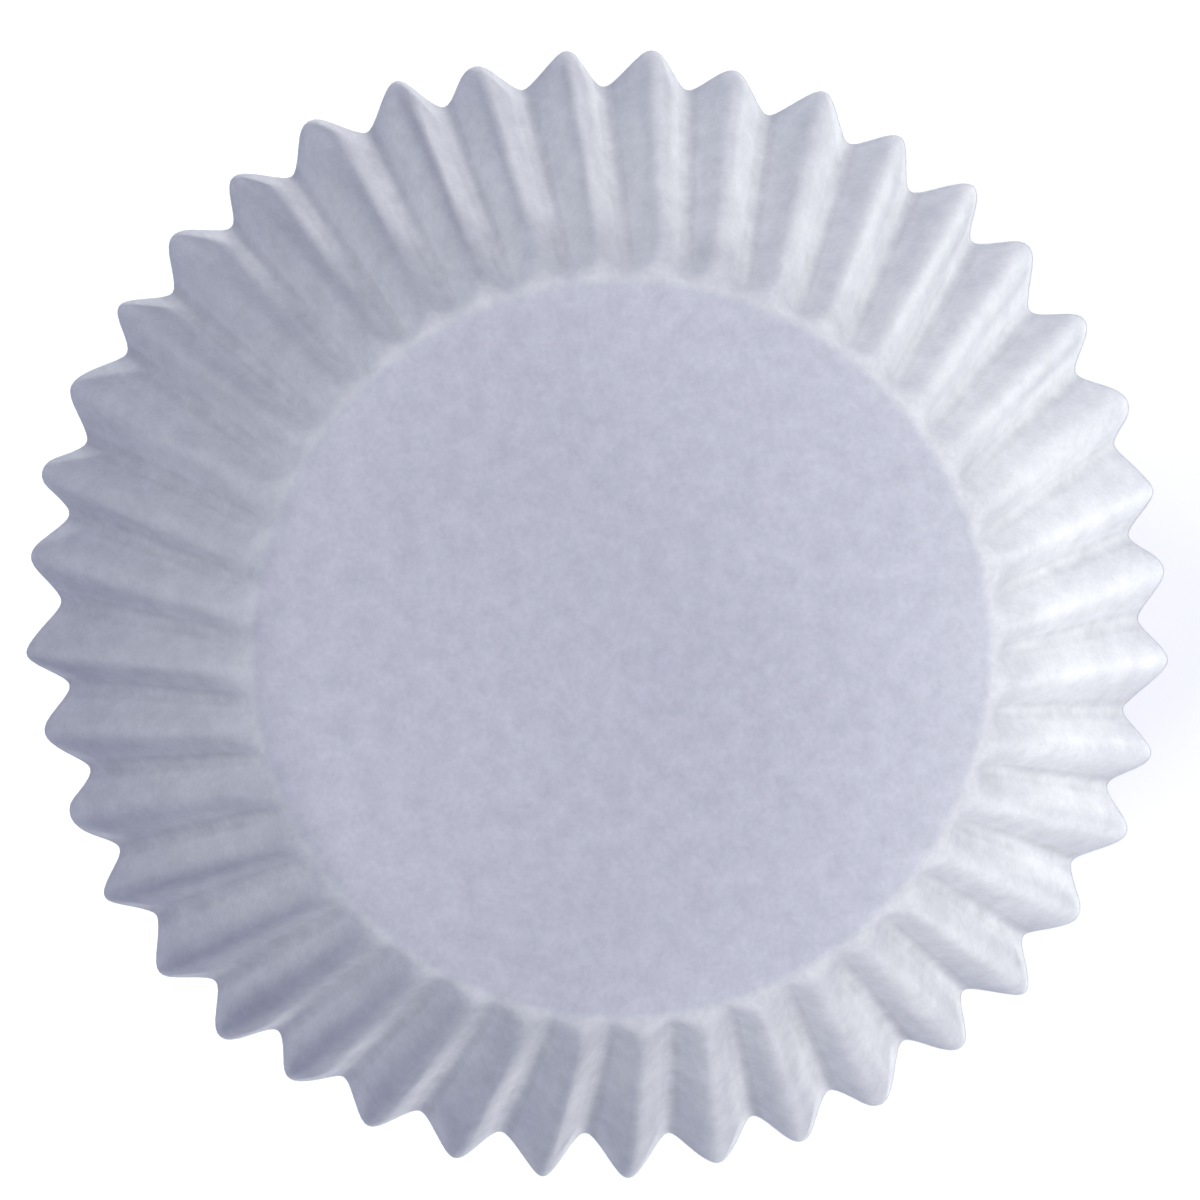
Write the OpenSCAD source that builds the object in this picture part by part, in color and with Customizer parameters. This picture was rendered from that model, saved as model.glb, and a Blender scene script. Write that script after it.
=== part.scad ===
// Cupcake liner: one round sheet of baking paper pressed into a cup, with a flat
// base, a rounded corner and a pleated wall that flares to an open rim.
// The origin is the centre of the underside, and +Z points up through the mouth.

/* [Cup] */
// Diameter of the base, where the slope of the wall would meet the table
base_d = 49.4; // [40:0.2:70]
// Depth of the wall, measured along its slope from the base to the rim
wall_slant = 31.75; // [20:0.25:45]
// Lean of the wall outward from upright, in degrees
wall_lean = 18.3; // [8:0.1:24]
// Radius of the rounded corner between the base and the wall
corner_r = 1.8; // [1:0.1:5]

/* [Pleats] */
// Number of pleats round the wall
pleats = 40; // [24:1:48]
// Depth of a pleat at the rim, from its outer fold to its inner fold
pleat_depth = 2.7; // [1:0.1:4]
// Run of the wall over which the pleats rise out of the corner to their full depth
pleat_rise = 2; // [1:0.1:6]
// Width over which a fold is rounded off, at the rim
fold_w = 0.8; // [0.2:0.05:1]

/* [Paper] */
// Thickness of the sheet
paper_t = 0.06; // [0.05:0.01:0.2]

/* [Hidden] */

// Rings of points up the rounded corner and up the straight wall
corner_steps = 4;
wall_steps = 5;

// How much closer the wall's rings lie at its foot, where the pleats change most
ring_crowding = 1.5;

// The mean profile is a flat floor, an arc that turns it up, and a straight slope
turn = 90 - wall_lean;
corner_run = corner_r * tan(turn / 2);
corner_len = corner_r * turn * PI / 180;
straight_len = wall_slant - corner_run;
flat_r = base_d / 2 - corner_run;
rim_s = corner_len + straight_len;

// The wall's sheet starts on the floor, this far in from the corner
floor_lap = 1;

// Distances along the profile, from the edge of the flat floor, at which rings lie
rings = [
    -floor_lap,
    for (k = [0:corner_steps]) corner_len * k / corner_steps,
    for (k = [1:wall_steps]) corner_len + straight_len * pow(k / wall_steps, ring_crowding)
];

// Columns of points on one pleat, as shares of its pitch from the outer fold's
// centre, and how far out each stands: 1 is the outer fold, -1 is the inner fold
pleat_count = round(pleats);
pitch = 360 / pleat_count;
fold_share = fold_w / (2 * PI * profile(rim_s)[0] / pleat_count) / 2;
shoulder = (0.25 - fold_share) / (0.25 - fold_share * 2 / 3);
column_at = [0, fold_share, 0.5 - fold_share, 0.5, 0.5 + fold_share, 1 - fold_share];
column_out = [1, shoulder, -shoulder, -1, -shoulder, shoulder];
columns = pleat_count * len(column_at);
half_pleat = len(column_at) / 2;

// Slope of the profile above the table, in degrees, at distance s along it
function slope(s) = max(0, min(s / corner_r * 180 / PI, turn));

// Radius and height of the profile at distance s along it
function profile(s) =
    let (a = slope(s), rise = max(s - corner_len, 0))
    [
        flat_r + min(s, 0) + corner_r * sin(a) + rise * cos(a),
        corner_r * (1 - cos(a)) + rise * sin(a)
    ];

// The pleats start a quarter of the way round the corner and rise from there. Above
// that they deepen with their own width, so that their panels stand equally steep.
pleat_start = corner_len / 4;
function risen(s) = 1 - exp(-max(s - pleat_start, 0) / pleat_rise);
function depth(s) = pleat_depth * profile(s)[0] / profile(rim_s)[0] * risen(s);

function place(j) = j % len(column_at);

// Angle of a column round the cup, in degrees, with an outer fold centred on +X
function column_angle(j) = pitch * (floor(j / len(column_at)) + column_at[place(j)]);

// Point of the sheet's middle surface, folded out or in at right angles to the profile
function sheet(i, j) =
    let (
        s = rings[i],
        out = column_out[place(j)] * depth(s) / 2,
        r = profile(s)[0] + out * sin(slope(s)),
        a = column_angle(j)
    )
    [r * cos(a), r * sin(a), profile(s)[1] - out * cos(slope(s)) + paper_t / 2];

middle = [for (i = [0:len(rings) - 1]) [for (j = [0:columns - 1]) sheet(i, j)]];

function unit(v) = v / norm(v);

// Direction square to the paper at a point, towards the outside of the cup
function outward(i, j) =
    rings[i] <= 0 ? [0, 0, -1] :
    let (
        last = len(rings) - 1,
        here = middle[i][j],
        after = middle[i][(j + 1) % columns],
        before = middle[i][(j + columns - 1) % columns],
        round_cup = unit(after - here) + unit(here - before),
        up_wall = middle[min(i + 1, last)][j] - middle[i - 1][j]
    )
    unit(cross(round_cup, up_wall));

// One face of the sheet, at half its thickness from the middle surface
function skin(side) = [
    for (i = [0:len(rings) - 1])
        for (j = [0:columns - 1])
            middle[i][j] + side * outward(i, j) * paper_t / 2
];

// Two triangles for each cell between the rings; reverse turns them to face inward
function wall_faces(first, reverse) = [
    for (i = [0:len(rings) - 2])
        for (j = [0:columns - 1])
            let (
                k = (j + 1) % columns,
                a = first + i * columns + j,
                b = first + i * columns + k,
                c = a + columns,
                d = b + columns,
                halves = place(j) < half_pleat ? [[a, c, b], [b, c, d]] : [[a, d, b], [a, c, d]]
            )
            for (face = halves) reverse ? [face[2], face[1], face[0]] : face
];

// The sheet's thickness along one ring, from its outer face to its inner face
function edge_faces(outer, inner, reverse) = [
    for (j = [0:columns - 1])
        let (k = (j + 1) % columns)
        for (face = [
            [outer + j, inner + j, outer + k],
            [outer + k, inner + j, inner + k]
        ]) reverse ? [face[2], face[1], face[0]] : face
];

module liner() {
    count = len(rings) * columns;
    rim = count - columns;
    color("whitesmoke")
    union() {
        cylinder(h = paper_t, r = flat_r - floor_lap / 2, $fn = columns);
        polyhedron(
            points = concat(skin(1), skin(-1)),
            faces = concat(
                wall_faces(0, false),
                wall_faces(count, true),
                edge_faces(0, count, true),
                edge_faces(rim, count + rim, false)
            )
        );
    }
}

liner();
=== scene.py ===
import math
import random

import bpy
from mathutils import Matrix, Vector, noise


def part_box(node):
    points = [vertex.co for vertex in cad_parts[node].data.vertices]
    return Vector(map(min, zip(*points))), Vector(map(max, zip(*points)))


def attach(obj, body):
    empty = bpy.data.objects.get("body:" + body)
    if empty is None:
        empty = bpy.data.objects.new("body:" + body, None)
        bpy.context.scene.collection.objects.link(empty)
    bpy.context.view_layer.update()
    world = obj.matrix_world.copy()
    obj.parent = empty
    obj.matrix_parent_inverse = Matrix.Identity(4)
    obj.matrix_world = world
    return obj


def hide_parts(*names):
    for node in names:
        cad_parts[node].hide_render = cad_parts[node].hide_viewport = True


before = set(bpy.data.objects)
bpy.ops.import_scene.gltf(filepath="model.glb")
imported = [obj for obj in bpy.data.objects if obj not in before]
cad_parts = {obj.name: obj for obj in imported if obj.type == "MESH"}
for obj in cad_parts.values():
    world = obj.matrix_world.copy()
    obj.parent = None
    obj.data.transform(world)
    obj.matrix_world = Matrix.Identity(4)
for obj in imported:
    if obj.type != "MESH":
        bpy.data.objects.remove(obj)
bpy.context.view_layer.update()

# Pleated cup: one round of white greaseproof baking paper, pressed in a heated
# fluted die. The die turns the paper up round the flat floor, and what is spare
# in the wall folds into pleats, which deepen all the way up to the cut rim.
MM = 0.001
paper_thickness = 0.06 * MM
pleats = 40
pleat_depth = 2.7 * MM
fold_width = 0.9 * MM
fold_rise = 2 * MM
corner_radius = 1.8 * MM
wall_lean = math.radians(18.3)

# The rim's middle line and the floor's edge follow from the frame's own box
cup_low, cup_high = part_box("liner")
corner_turn = math.pi / 2 - wall_lean
half_fold = (pleat_depth + paper_thickness) / 2
rim_radius = cup_high.x - half_fold * math.cos(wall_lean)
rim_height = cup_high.z - half_fold * math.sin(wall_lean)
sheet_height = cup_low.z + paper_thickness / 2
corner_height = corner_radius * (1 - math.cos(corner_turn))
wall_length = (rim_height - sheet_height - corner_height) / math.sin(corner_turn)
wall_run = wall_length * math.cos(corner_turn)
floor_radius = rim_radius - wall_run - corner_radius * math.sin(corner_turn)
corner_length = corner_radius * corner_turn
wall_end = corner_length + wall_length


def wall_slope(along):
    """Slope of the cup's mean profile, from the floor's edge up to the rim."""
    return max(0, min(along / corner_radius, corner_turn))


def wall_place(along):
    """Radius and height of the mean profile at a distance along it from the floor's edge."""
    slope, rise = wall_slope(along), max(along - corner_length, 0)
    radius = floor_radius + min(along, 0) + corner_radius * math.sin(slope)
    height = sheet_height + corner_radius * (1 - math.cos(slope))
    return radius + rise * math.cos(slope), height + rise * math.sin(slope)


# The round is drawn out ring by ring, first across the floor, then up the corner and
# the wall, where the rings crowd at its foot. Each fold has four columns of points.
floor_rings, corner_rings, wall_rings = 8, 5, 14
ring_crowding = 1.3
fold_columns = 4
pleat_columns = 2 * fold_columns
columns = pleats * pleat_columns
hole_radius = 1.2 * MM
floor_step = (floor_radius - hole_radius) / floor_rings
rings = [floor_step * (ring - floor_rings) for ring in range(floor_rings + 1)]
rings += [corner_length * (ring + 1) / corner_rings for ring in range(corner_rings)]
rings += [
    corner_length + wall_length * ((ring + 1) / wall_rings) ** ring_crowding
    for ring in range(wall_rings)
]

bpy.ops.object.select_all(action="DESELECT")
bpy.ops.mesh.primitive_circle_add(
    vertices=columns, radius=hole_radius, fill_type="NOTHING", location=(0, 0, sheet_height),
)
cup = bpy.context.object
cup.name = cup.data.name = "pleated_cup"
bpy.ops.object.transform_apply(location=True, rotation=True, scale=True)
bpy.ops.object.mode_set(mode="EDIT")
bpy.ops.mesh.select_mode(type="EDGE")
bpy.ops.mesh.select_all(action="SELECT")
for inner, outer in zip(rings, rings[1:]):
    inner_radius, inner_height = wall_place(inner)
    outer_radius, outer_height = wall_place(outer)
    bpy.ops.mesh.extrude_edges_move(
        TRANSFORM_OT_translate={"value": (0, 0, outer_height - inner_height)}
    )
    widen = outer_radius / inner_radius
    bpy.ops.transform.resize(value=(widen, widen, 1), center_override=(0, 0, outer_height))
bpy.ops.object.mode_set(mode="OBJECT")

# The columns of a fold are its crest, a shoulder, the middle of the next panel, and
# the next fold's shoulder. Places are shares of the pitch from the outer fold, and
# reaches run from 1 on the outer fold to -1 on the inner one. A rounded crest stops
# short of the sharp one by a share of the fold's half width.
panel_middle = 0.25
crest_cut = 2 / 3
fold_share = fold_width / (2 * math.pi * rim_radius / pleats) / 2
panel_lean = 1 / (panel_middle - fold_share * crest_cut)

# No two folds come out of the die quite alike: each swings round the cup, more at
# the rim than at the floor, and stands out more or less. Its panel bows in or out,
# an outer fold is more or less blunt, and the whole rim is a little oval.
hand = random.Random(11)
folds = 2 * pleats
low_spread, high_spread, reach_spread, bow_spread, blunt_spread = 0.022, 0.032, 0.12, 0.05, 0.45
swing_low = [hand.gauss(0, low_spread) for fold in range(folds)]
swing_high = [hand.gauss(0, high_spread) for fold in range(folds)]
stand_out = [hand.gauss(0, reach_spread) for fold in range(folds)]
panel_bow = [hand.gauss(0, bow_spread) for fold in range(folds)]
bluntness = [1 + abs(hand.gauss(0, blunt_spread)) * (1 - fold % 2) for fold in range(folds)]
rim_oval = 0.0088
oval_angle = math.radians(-20.5)


def of_fold(values, column):
    """The value of the fold that a column lies on, or halfway between two folds."""
    fold, share = column // fold_columns, (0, 0, 0.5, 1)[column % fold_columns]
    return values[fold % folds] * (1 - share) + values[(fold + 1) % folds] * share


def column_shape(column):
    """Place and reach of a column on its pleat, with its own fold's bluntness."""
    fold, part = divmod(column % pleat_columns + 1, fold_columns)
    crest_place, side = fold % 2 / 2, 1 - fold % 2 * 2
    half_width = fold_share * bluntness[(column + 1) // fold_columns % folds]
    if part == 3:
        return crest_place + panel_middle, 0
    if part == 1:
        return crest_place, side * panel_lean * (panel_middle - half_width * crest_cut)
    shoulder_place = crest_place + half_width * (part - 1)
    return shoulder_place, side * panel_lean * (panel_middle - half_width)


def risen(along):
    """Share of its full steepness that a fold has, which it gains soon after the corner."""
    return 1 - math.exp(-max(along - corner_length / 4, 0) / fold_rise)


def nearest_ring(vertex):
    """Distance along the profile of the ring that a vertex lies on."""
    place = Vector((vertex.co.xy.length, vertex.co.z))
    return min(rings, key=lambda along: (Vector(wall_place(along)) - place).length)


# The wall's points move out or in to their folds, at right angles to the profile. A
# mark keeps how far out each is, for the painted shade along the inner folds.
fold_mark = cup.data.attributes.new("fold_mark", "FLOAT", "POINT")
for vertex in cup.data.vertices:
    column = round(math.atan2(vertex.co.y, vertex.co.x) / math.tau * columns) % columns
    ring = nearest_ring(vertex)
    if ring <= 0:
        continue
    height_share = ring / wall_end
    slope, (radius, height) = wall_slope(ring), wall_place(ring)
    swing = of_fold(swing_low, column) * (1 - height_share)
    swing += of_fold(swing_high, column) * height_share
    column_place, column_reach = column_shape(column)
    reach = column_reach + of_fold(stand_out, column) * height_share
    if column % fold_columns == 2:
        reach += panel_bow[column // fold_columns]
    out = reach * pleat_depth / 2 * radius / rim_radius * risen(ring)
    angle = math.tau / pleats * ((column + 1) // pleat_columns + column_place + swing)
    oval = 1 + rim_oval * height_share * math.cos(2 * (angle - oval_angle))
    radius = (radius + out * math.sin(slope)) * oval
    vertex.co = (radius * math.cos(angle), radius * math.sin(angle), height - out * math.cos(slope))
    fold_mark.data[vertex.index].value = column_reach * risen(ring)

smooth = cup.modifiers.new("Rounded folds", "SUBSURF")
smooth.levels = smooth.render_levels = 1
bpy.ops.object.modifier_apply(modifier=smooth.name)

# The middle of the floor is closed after the smoothing, because a face with so many
# sides can't be smoothed
hole_reach = hole_radius * 1.01
bpy.ops.object.mode_set(mode="EDIT")
bpy.ops.mesh.select_all(action="DESELECT")
bpy.ops.object.mode_set(mode="OBJECT")
for edge in cup.data.edges:
    ends = [cup.data.vertices[index].co.xy.length for index in edge.vertices]
    edge.select = max(ends) < hole_reach
bpy.ops.object.mode_set(mode="EDIT")
bpy.ops.mesh.edge_face_add()
bpy.ops.mesh.select_all(action="SELECT")
bpy.ops.mesh.normals_make_consistent(inside=False)
bpy.ops.object.mode_set(mode="OBJECT")

# The floor bows up a little off the table, and the sheet is nowhere quite even
floor_bow = 0.18 * MM
ripple_size, ripple_height = 5 * MM, 0.05 * MM
normals = [vertex.normal.copy() for vertex in cup.data.vertices]
for vertex, normal in zip(cup.data.vertices, normals):
    from_axis = vertex.co.xy.length
    if from_axis < floor_radius:
        rise = 1 - (from_axis / floor_radius) ** 2
        vertex.co.z += floor_bow * rise * (1 + noise.noise(vertex.co / ripple_size / 2)) / 2
    else:
        off_table = min((vertex.co.z - sheet_height) / corner_radius, 1)
        vertex.co += normal * ripple_height * off_table * noise.noise(vertex.co / ripple_size)

# The sheet gets its thickness, half to each side, and only its cut rim has sharp edges
sharp_angle = math.radians(60)
thick = cup.modifiers.new("Paper", "SOLIDIFY")
thick.thickness = paper_thickness
thick.offset = 0
thick.use_even_offset = True
bpy.ops.object.modifier_apply(modifier=thick.name)
bpy.ops.object.shade_smooth_by_angle(angle=sharp_angle)


class Paint:
    """A socket of a material's nodes, so that sums on it read as plain sums."""

    def __init__(self, tree, socket):
        self.tree, self.socket = tree, socket

    def sum_of(self, operation, first, second):
        sockets = {0: first, 1: second}
        return node(self.tree, "ShaderNodeMath", {"operation": operation}, sockets)["Value"]

    def __add__(self, other):
        return self.sum_of("ADD", self, other)

    def __radd__(self, other):
        return self.sum_of("ADD", other, self)

    def __mul__(self, other):
        return self.sum_of("MULTIPLY", self, other)

    def __rmul__(self, other):
        return self.sum_of("MULTIPLY", other, self)

    def __sub__(self, other):
        return self.sum_of("SUBTRACT", self, other)

    def __rsub__(self, other):
        return self.sum_of("SUBTRACT", other, self)


def node(tree, kind, settings, inputs):
    """Adds a node: its settings first, then the values or links of its sockets.

    A socket goes by its name, or by its number where several share a name.
    """
    made = tree.nodes.new(kind)
    for name, value in settings.items():
        setattr(made, name, value)
    for name, value in inputs.items():
        if isinstance(value, Paint):
            tree.links.new(value.socket, made.inputs[name])
        else:
            made.inputs[name].default_value = value
    return {socket.name: Paint(tree, socket) for socket in made.outputs if socket.enabled}


# White greaseproof: cool white and matt, with a faint cloudy look from its fibres.
# The die draws the clouds and crinkles out up the wall. A darker line of painted shade
# runs along each inner fold, and painted shade makes the floor a little duller and bluer.
paper_white = (0.92, 0.922, 0.94, 1)
paper_cloud = (0.62, 0.625, 0.66, 1)
# Painted shade for the floor, duller and bluer; the wall has none
floor_painted_shade = (0.862, 0.859, 0.925, 1)
wall_unshaded = (1, 1, 1, 1)
cloud_size, fibre_size, crinkle_size = 1.6 * MM, 0.35 * MM, 1.1 * MM
wall_draw = (1, 1, 0.35)
floor_shade_fade_start, floor_shade_fade_end = floor_radius + 0.25 * MM, floor_radius + 0.95 * MM
# Painted shade along the inner folds: where it starts and ends, its depth and patchiness
crease_shade_start, crease_shade_end = -0.5, -1.0
crease_shade_depth, crease_shade_patches = 0.03, 0.14
paper_roughness = 0.62
bump_height = 0.1 * MM
paper = bpy.data.materials.new("white_greaseproof")
paper.use_nodes = True
tree = paper.node_tree
tree.nodes.clear()
where = node(tree, "ShaderNodeTexCoord", {}, {})["Object"]
drawn = node(tree, "ShaderNodeVectorMath", {"operation": "MULTIPLY"}, {
    0: where, 1: wall_draw,
})["Vector"]
clouds = node(tree, "ShaderNodeTexNoise", {}, {
    "Vector": drawn, "Scale": 1 / cloud_size, "Detail": 3, "Roughness": 0.65,
})["Fac"]
fibres = node(tree, "ShaderNodeTexNoise", {}, {
    "Vector": where, "Scale": 1 / fibre_size, "Detail": 2, "Roughness": 0.7,
})["Fac"]
mottle = clouds * 0.9 + fibres * 0.5 - 0.2
tint = node(tree, "ShaderNodeMix", {"data_type": "RGBA"}, {
    "Factor": mottle, 6: paper_white, 7: paper_cloud,
})["Result"]
flat_where = node(tree, "ShaderNodeVectorMath", {"operation": "MULTIPLY"}, {
    0: where, 1: (1, 1, 0),
})["Vector"]
from_axis = node(tree, "ShaderNodeVectorMath", {"operation": "LENGTH"}, {0: flat_where})["Value"]
# Painted shade on the floor, fading out at the foot of the wall
on_wall = node(tree, "ShaderNodeMapRange", {"interpolation_type": "SMOOTHSTEP"}, {
    "Value": from_axis, "From Min": floor_shade_fade_start, "From Max": floor_shade_fade_end,
})["Result"]
fold = node(tree, "ShaderNodeAttribute", {
    "attribute_type": "GEOMETRY", "attribute_name": "fold_mark",
}, {})["Fac"]
# Painted shade: a darker line along each inner fold, patchy with the clouds
crease_painted_shade = node(tree, "ShaderNodeMapRange", {"interpolation_type": "SMOOTHSTEP"}, {
    "Value": fold, "From Min": crease_shade_start, "From Max": crease_shade_end,
})["Result"]
floor_shade_mix = node(tree, "ShaderNodeMix", {"data_type": "RGBA"}, {
    "Factor": on_wall, 6: floor_painted_shade, 7: wall_unshaded,
})["Result"]
shaded_tint = node(tree, "ShaderNodeVectorMath", {"operation": "MULTIPLY"}, {
    0: tint, 1: floor_shade_mix,
})["Vector"]
# The colour carries the floor's painted shade and the inner folds' painted shade
colour = node(tree, "ShaderNodeVectorMath", {"operation": "SCALE"}, {
    0: shaded_tint, "Scale": 1 - crease_painted_shade * (clouds * crease_shade_patches + crease_shade_depth),
})["Vector"]
crinkles = node(tree, "ShaderNodeTexNoise", {}, {
    "Vector": drawn, "Scale": 1 / crinkle_size, "Detail": 1, "Roughness": 0.5,
})["Fac"]
bump = node(tree, "ShaderNodeBump", {}, {
    "Height": fibres * 0.3 + crinkles * 0.6, "Strength": 0.6, "Distance": bump_height,
})["Normal"]
shader = node(tree, "ShaderNodeBsdfPrincipled", {}, {
    "Base Color": colour, "Roughness": paper_roughness + mottle * 0.16, "Normal": bump,
    "Specular IOR Level": 0.0,
})["BSDF"]
node(tree, "ShaderNodeOutputMaterial", {}, {"Surface": shader})
cup.data.materials.clear()
cup.data.materials.append(paper)

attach(cup, "root")
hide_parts("liner")

# Table: a plain pale top, far wider than the view, that the cup stands on. It is
# lifted to white for the camera alone, so that only the cup's own shadow shows.
table_size = 4
table_grey = (0.82, 0.82, 0.83, 1)
table_lift = 0.65
bpy.ops.mesh.primitive_plane_add(size=table_size, location=(0, 0, cup_low.z))
table = bpy.context.object
table.name = "table"
surface = bpy.data.materials.new("pale_table")
surface.use_nodes = True
tree = surface.node_tree
tree.nodes.clear()
lit = node(tree, "ShaderNodeBsdfDiffuse", {}, {"Color": table_grey})["BSDF"]
lift = node(tree, "ShaderNodeEmission", {}, {
    "Color": (1, 1, 1, 1), "Strength": table_lift,
})["Emission"]
rays = node(tree, "ShaderNodeLightPath", {}, {})
shown = node(tree, "ShaderNodeAddShader", {}, {0: lit, 1: lift})["Shader"]
mixed = node(tree, "ShaderNodeMixShader", {}, {
    0: rays["Is Camera Ray"], 1: lit, 2: shown,
})["Shader"]
node(tree, "ShaderNodeOutputMaterial", {}, {"Surface": mixed})
table.data.materials.append(surface)

# Light: the room's cool, even light and six soft lamps. Three stand low on the left
# and light the far wall, one hangs over the cup, and two fill in the darker sides.
room_light = (0.07, 0.08, 0.23, 1)
daylight = (0.92, 0.935, 0.855)
lamp_distance = 1.2
room = bpy.data.worlds.new("room")
bpy.context.scene.world = room
room.use_nodes = True
tree = room.node_tree
tree.nodes.clear()
ambient = node(tree, "ShaderNodeBackground", {}, {"Color": room_light, "Strength": 1})["Background"]
white = node(tree, "ShaderNodeBackground", {}, {"Color": (1, 1, 1, 1), "Strength": 1})["Background"]
rays = node(tree, "ShaderNodeLightPath", {}, {})
mixed = node(tree, "ShaderNodeMixShader", {}, {
    0: rays["Is Camera Ray"], 1: ambient, 2: white,
})["Shader"]
node(tree, "ShaderNodeOutputWorld", {}, {"Surface": mixed})


def soft_lamp(name, azimuth, elevation, size, power):
    """A square soft lamp that faces the cup from that side, angles in degrees."""
    azimuth, elevation = math.radians(azimuth), math.radians(elevation)
    across = math.cos(elevation)
    towards = Vector((math.cos(azimuth) * across, math.sin(azimuth) * across, math.sin(elevation)))
    bpy.ops.object.light_add(type="AREA", location=towards * lamp_distance)
    lamp = bpy.context.object
    lamp.name = name
    lamp.rotation_euler = towards.to_track_quat("Z", "Y").to_euler()
    lamp.data.size = size
    lamp.data.energy = power
    lamp.data.color = daylight


soft_lamp("low_behind", 136.7, 30, 0.3, 3.8)
soft_lamp("low", 183.7, 30, 0.3, 3.6)
soft_lamp("low_front", 221.7, 30, 0.3, 5.5)
soft_lamp("high", 181.7, 71, 0.2, 5.5)
soft_lamp("behind", 106.7, 45, 0.5, 1.8)
soft_lamp("right", 328.7, 42, 0.5, 3.0)

# Camera: it looks down into the cup, a little off its axis, through a long lens,
# and is turned so that the folds fall where the photograph has them
photo_turn = math.radians(3.3)
view_tilt = math.radians(5.675)
view_side = math.radians(-57.89) - photo_turn
view_distance = 865 * MM
lens, sensor = 406, 36
aim_across, aim_up, aim_height = -0.561 * MM, 1.919 * MM, 15 * MM
image_right = Vector((math.cos(photo_turn), -math.sin(photo_turn), 0))
image_up = Vector((math.sin(photo_turn), math.cos(photo_turn), 0))
aim = image_right * aim_across + image_up * aim_up + Vector((0, 0, aim_height))
lean_out = math.sin(view_tilt)
back = Vector((math.cos(view_side) * lean_out, math.sin(view_side) * lean_out, math.cos(view_tilt)))
bpy.ops.object.camera_add(location=aim + back * view_distance)
camera = bpy.context.object
camera.data.lens = lens
camera.data.sensor_width = sensor
camera.data.sensor_fit = "HORIZONTAL"
camera.data.clip_end = 20
right = image_up.cross(back).normalized()
upright = back.cross(right)
camera.rotation_euler = Matrix((right, upright, back)).transposed().to_euler()
bpy.context.scene.camera = camera
bpy.context.scene.view_settings.view_transform = "Standard"
